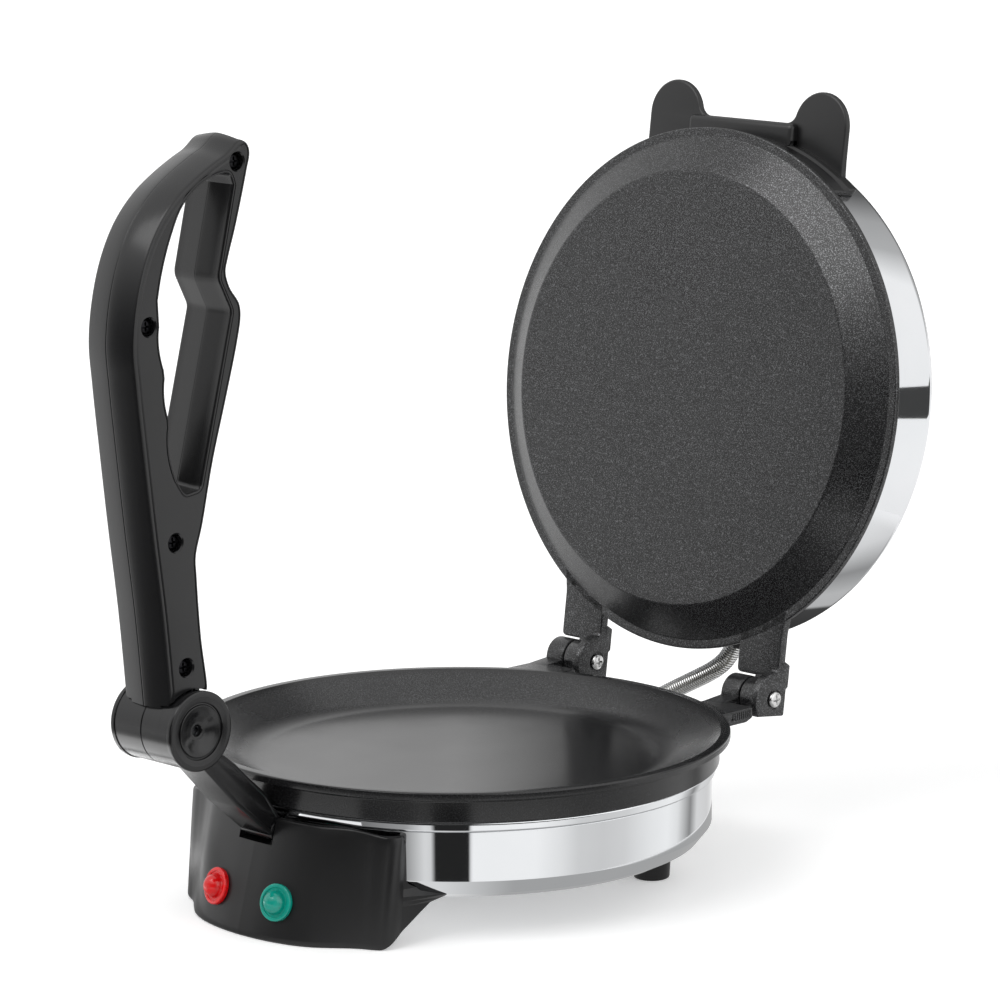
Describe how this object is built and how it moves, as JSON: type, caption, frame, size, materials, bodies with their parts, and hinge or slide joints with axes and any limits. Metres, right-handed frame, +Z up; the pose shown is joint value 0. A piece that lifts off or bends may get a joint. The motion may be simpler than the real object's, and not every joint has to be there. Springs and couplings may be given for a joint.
{
  "type": "electric roti maker",
  "caption": "Electric roti maker: round heated non-stick plate in a steel body, hinged heated lid, and a lever handle on a link that presses the lid shut.",
  "frame": {"origin": "on the lower plate's axis at the height of the worktop", "axes": "+Z up, -Y to the front with the lamps and the press handle, +Y to the lid hinges, +X to the right seen from the front"},
  "size_m": [0.24, 0.4008, 0.3416],
  "materials": {
    "nonstick_plate": "die cast, charcoal non-stick coating",
    "polished_steel": "mirror polished stainless steel",
    "black_plastic": "moulded, satin",
    "plated_steel": "zinc plated",
    "heater_sheath": "heat darkened",
    "ceramic": "glazed",
    "red_lens": "translucent",
    "green_lens": "translucent",
    "lamp_glass": "clear",
    "wire_sleeve": "woven glass sleeve"
  },
  "bodies": {
    "base": {"lower_plate": "nonstick_plate", "base_shell": "polished_steel", "trim_ring": "polished_steel", "body_bolt": "plated_steel", "rear_foot_left": "black_plastic", "rear_foot_right": "black_plastic", "cord_gland": "black_plastic", "lower_heater": "heater_sheath", "lower_clamp_ring": "plated_steel", "lower_clamp_screw_1": "plated_steel", "lower_clamp_screw_2": "plated_steel", "lower_clamp_screw_3": "plated_steel", "thermostat": "ceramic", "thermal_fuse": "plated_steel", "terminal_block": "ceramic", "front_housing": "black_plastic", "housing_screw_left": "plated_steel", "housing_screw_right": "plated_steel", "red_lens": "red_lens", "red_neon_lamp": "lamp_glass", "green_lens": "green_lens", "green_neon_lamp": "lamp_glass", "link_pin": "plated_steel", "hinge_screw_left": "plated_steel", "hinge_screw_right": "plated_steel", "conduit_sleeve_body": "black_plastic", "conduit_spring": "plated_steel", "lid_wires": "wire_sleeve"},
    "link": {"link_arm": "black_plastic"},
    "handle": {"handle_axle": "plated_steel", "handle_shell_right": "black_plastic", "handle_shell_left": "black_plastic", "handle_screw_1": "plated_steel", "handle_screw_2": "plated_steel", "handle_screw_3": "plated_steel", "handle_screw_4": "plated_steel", "barrel_cap_left": "black_plastic", "barrel_cap_right": "black_plastic"},
    "lid": {"upper_plate": "nonstick_plate", "lid_cover": "polished_steel", "upper_heater": "heater_sheath", "upper_clamp_ring": "plated_steel", "upper_clamp_screw_1": "plated_steel", "upper_clamp_screw_2": "plated_steel", "upper_clamp_screw_3": "plated_steel", "press_saddle": "black_plastic", "saddle_screw_left": "plated_steel", "saddle_screw_right": "plated_steel", "conduit_sleeve_lid": "black_plastic"}
  },
  "joints": [
    {"name": "lid_hinge", "type": "hinge", "parent": "base", "child": "lid", "pos_m": [0, 0.1338, 0.06932], "axis": [1, 0, 0], "range_deg": [0, 97.48], "deforming": ["conduit_spring", "lid_wires"]},
    {"name": "link_pivot", "type": "hinge", "parent": "base", "child": "link", "pos_m": [0, -0.117, 0.0444], "axis": [-1, 0, 0], "range_deg": [0, 15]},
    {"name": "handle_pivot", "type": "hinge", "parent": "link", "child": "handle", "pos_m": [0, -0.1677, 0.0978], "axis": [-1, 0, 0], "range_deg": [0, 64]}
  ]
}
